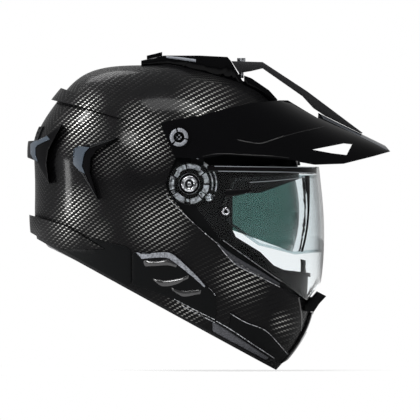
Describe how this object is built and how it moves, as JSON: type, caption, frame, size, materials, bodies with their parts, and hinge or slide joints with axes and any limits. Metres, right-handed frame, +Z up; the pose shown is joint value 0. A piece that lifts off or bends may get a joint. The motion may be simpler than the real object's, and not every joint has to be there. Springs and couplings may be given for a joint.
{
  "type": "dual sport helmet",
  "caption": "Full-face dual sport helmet with a long peak on a strut, a clear opening shield, a drop-down sun visor, chin and crown vents and a chin strap with a double ring.",
  "frame": {"origin": "centre of the head that wears the helmet", "axes": "+X forward, +Y to the wearer's left, +Z up, in worn attitude with the lower rim sloping down to the chin"},
  "size_m": [0.3917, 0.269, 0.3433],
  "materials": {
    "carbon_shell": "carbon twill under clear gloss coat",
    "gloss_black": "gloss",
    "matte_black": "fine moulded texture",
    "textured_black": "coarse moulded texture",
    "fin_satin": "satin blue grey",
    "satin_grey": "satin",
    "clear_shield": "clear polycarbonate",
    "visor_tint": "green tinted polycarbonate",
    "rubber": "matte",
    "foam": "expanded bead foam",
    "pad_fabric": "brushed knit",
    "leatherette": "fine grain",
    "webbing": "woven",
    "steel": "satin",
    "red_tab": "woven"
  },
  "bodies": {
    "shell": {"base_trim": "rubber", "breath_guard": "rubber", "brow_trim": "gloss_black", "cheek_pad_left": "pad_fabric", "cheek_pad_right": "pad_fabric", "chin_curtain": "pad_fabric", "chin_liner": "foam", "chin_scoop": "matte_black", "chin_trim_left": "matte_black", "chin_trim_right": "matte_black", "chin_vent_frame": "gloss_black", "chin_vent_mesh": "matte_black", "crown_mount": "gloss_black", "crown_pad": "pad_fabric", "emergency_tabs": "red_tab", "exhaust_mesh": "matte_black", "forehead_vent": "gloss_black", "impact_liner": "foam", "neck_roll": "leatherette", "outer_shell": "carbon_shell", "peak": "gloss_black", "peak_strut": "textured_black", "peak_top_screw": "steel", "pivot_hub_left": "satin_grey", "pivot_hub_right": "satin_grey", "pivot_plate_left": "matte_black", "pivot_plate_right": "matte_black", "pivot_plate_screws": "steel", "port_frame": "matte_black", "port_gasket": "rubber", "rear_bridge": "fin_satin", "rear_fin_left": "fin_satin", "rear_fin_right": "fin_satin", "rear_trim": "matte_black", "side_cover_left": "matte_black", "side_cover_right": "matte_black", "slider_track": "matte_black", "strap_anchors": "steel", "strap_left": "webbing", "strap_right": "webbing", "sun_visor_pivots": "steel"},
    "shield": {"face_shield": "clear_shield", "insert_lens": "clear_shield", "insert_seal": "rubber", "insert_pins": "gloss_black"},
    "visor": {"sun_visor": "visor_tint"},
    "visor_lever": {"sun_visor_slider": "matte_black"},
    "chin_flap": {"chin_vent_flap": "matte_black"},
    "crown_slider": {"crown_vent_slider": "satin_grey"},
    "screw_right": {"peak_screw_right": "satin_grey"},
    "screw_left": {"peak_screw_left": "satin_grey"},
    "rings": {"d_rings": "steel"}
  },
  "joints": [
    {"name": "shield_turn", "type": "hinge", "parent": "shell", "child": "shield", "pos_m": [0.021, 0, 0], "axis": [0, -1, 0], "range_deg": [0, 50]},
    {"name": "sun_visor_turn", "type": "hinge", "parent": "shell", "child": "visor", "pos_m": [0.0108, 0, -0.0292], "axis": [0, -1, 0], "range_deg": [0, 38]},
    {"name": "visor_lever_slide", "type": "slide", "parent": "shell", "child": "visor_lever", "axis": [-0.8654, 0.16, 0.4748], "range_m": [0, 0.0185]},
    {"name": "chin_flap_turn", "type": "hinge", "parent": "shell", "child": "chin_flap", "pos_m": [0.1429, 0, -0.1575], "axis": [0, -1, 0], "range_deg": [0, 25]},
    {"name": "crown_vent_slide", "type": "slide", "parent": "shell", "child": "crown_slider", "axis": [-0.9757, 0, -0.2191], "range_m": [0, 0.005]},
    {"name": "screw_right_turn", "type": "hinge", "parent": "shell", "child": "screw_right", "pos_m": [0.01, -0.13, 0.05], "axis": [0, -1, 0], "range_deg": [0, 90]},
    {"name": "screw_left_turn", "type": "hinge", "parent": "shell", "child": "screw_left", "pos_m": [0.01, 0.13, 0.05], "axis": [0, 1, 0], "range_deg": [0, 90]},
    {"name": "rings_swing", "type": "hinge", "parent": "shell", "child": "rings", "pos_m": [-0.014, -0.05711, -0.11302], "axis": [1, 0, 0], "range_deg": [-25, 25]}
  ],
  "couplings": [
    {"joint": "visor_lever_slide", "follows": "sun_visor_turn", "m_per_rad": 0.027}
  ]
}
